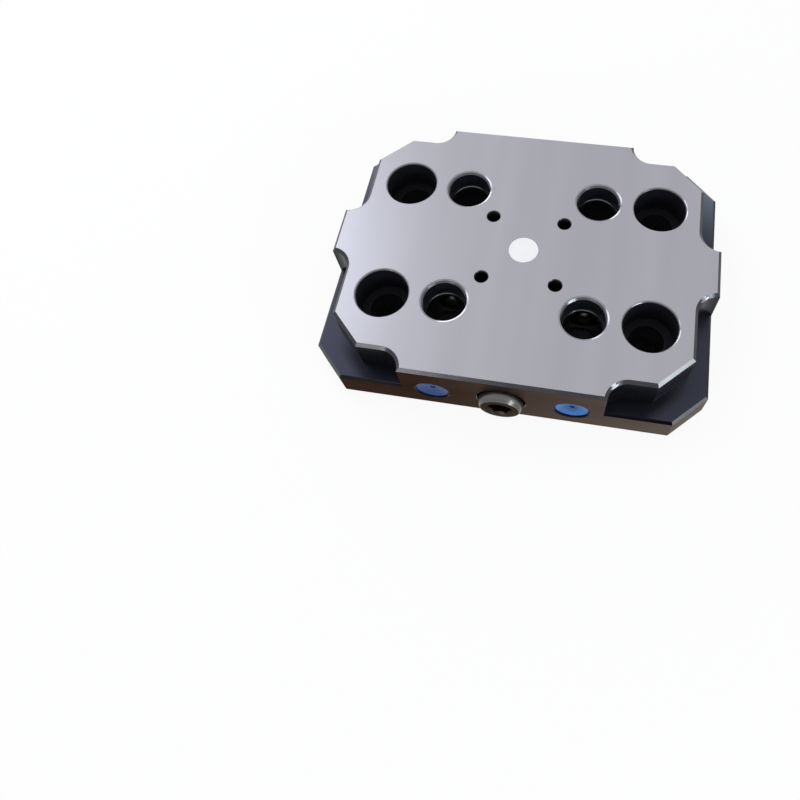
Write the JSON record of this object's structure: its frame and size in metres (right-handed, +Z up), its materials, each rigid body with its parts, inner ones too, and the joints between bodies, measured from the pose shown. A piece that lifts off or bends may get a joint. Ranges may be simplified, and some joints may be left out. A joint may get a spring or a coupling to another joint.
{
  "type": "zero point clamping plate",
  "caption": "Flat steel plate with stepped corners, stud bores and counterbored bolt holes; a side screw drives wedges and pins that lock pull studs.",
  "frame": {"origin": "middle of the underside", "axes": "+X along the length, -Y out of the face with the screw, +Z up through the ground top"},
  "size_m": [0.148, 0.1165, 0.027],
  "materials": {
    "plate_steel": "hardened steel, top ground bright, sides dark, steps and bores black oxide",
    "bright_steel": "nickel plated, polished",
    "pin_steel": "ground",
    "spring_steel": "drawn wire",
    "dark_steel": "black oxide",
    "bronze": "turned",
    "black_rubber": "satin",
    "blue_plastic": "satin moulded",
    "white_plastic": "satin moulded"
  },
  "bodies": {
    "plate": {"body_plate": "plate_steel", "centre_plug": "white_plastic", "front_plug_left": "blue_plastic", "front_plug_right": "blue_plastic", "side_plug_left": "blue_plastic", "side_plug_right": "blue_plastic", "screw_bush": "bronze", "screw_seal": "black_rubber", "stop_screws": "dark_steel", "guide_bush_front_left": "bronze", "guide_bush_front_right": "bronze", "guide_bush_rear_left": "bronze", "guide_bush_rear_right": "bronze", "return_spring_front_left": "spring_steel", "return_spring_front_right": "spring_steel", "return_spring_rear_left": "spring_steel", "return_spring_rear_right": "spring_steel"},
    "wedge": {"drive_wedge": "pin_steel"},
    "screw": {"actuating_screw": "bright_steel", "stop_ring": "dark_steel"},
    "push_left": {"push_pin_left": "pin_steel"},
    "push_right": {"push_pin_right": "pin_steel"},
    "clamp_front_left": {"clamp_pin_front_left": "pin_steel"},
    "clamp_front_right": {"clamp_pin_front_right": "pin_steel"},
    "clamp_rear_left": {"clamp_pin_rear_left": "pin_steel"},
    "clamp_rear_right": {"clamp_pin_rear_right": "pin_steel"}
  },
  "joints": [
    {"name": "wedge_slide", "type": "slide", "parent": "plate", "child": "wedge", "axis": [0, 1, 0], "range_m": [0, 0.0035]},
    {"name": "screw_turn", "type": "hinge", "parent": "wedge", "child": "screw", "pos_m": [0, -0.0565, 0.0117], "axis": [0, 1, 0], "range_deg": [0, 720.2]},
    {"name": "push_left_slide", "type": "slide", "parent": "plate", "child": "push_left", "axis": [-1, 0, 0], "range_m": [0, 0.0035]},
    {"name": "push_right_slide", "type": "slide", "parent": "plate", "child": "push_right", "axis": [1, 0, 0], "range_m": [0, 0.0035]},
    {"name": "clamp_front_left_slide", "type": "slide", "parent": "plate", "child": "clamp_front_left", "axis": [0, -1, 0], "range_m": [0, 0.00202], "deforming": ["return_spring_front_left"]},
    {"name": "clamp_front_right_slide", "type": "slide", "parent": "plate", "child": "clamp_front_right", "axis": [0, -1, 0], "range_m": [0, 0.00202], "deforming": ["return_spring_front_right"]},
    {"name": "clamp_rear_left_slide", "type": "slide", "parent": "plate", "child": "clamp_rear_left", "axis": [0, 1, 0], "range_m": [0, 0.00202], "deforming": ["return_spring_rear_left"]},
    {"name": "clamp_rear_right_slide", "type": "slide", "parent": "plate", "child": "clamp_rear_right", "axis": [0, 1, 0], "range_m": [0, 0.00202], "deforming": ["return_spring_rear_right"]}
  ],
  "couplings": [
    {"joint": "screw_turn", "follows": "wedge_slide", "rad_per_m": 3590.4},
    {"joint": "push_left_slide", "follows": "wedge_slide", "ratio": 1},
    {"joint": "push_right_slide", "follows": "wedge_slide", "ratio": 1},
    {"joint": "clamp_front_left_slide", "follows": "wedge_slide", "ratio": 0.57735},
    {"joint": "clamp_front_right_slide", "follows": "wedge_slide", "ratio": 0.57735},
    {"joint": "clamp_rear_left_slide", "follows": "wedge_slide", "ratio": 0.57735},
    {"joint": "clamp_rear_right_slide", "follows": "wedge_slide", "ratio": 0.57735}
  ]
}
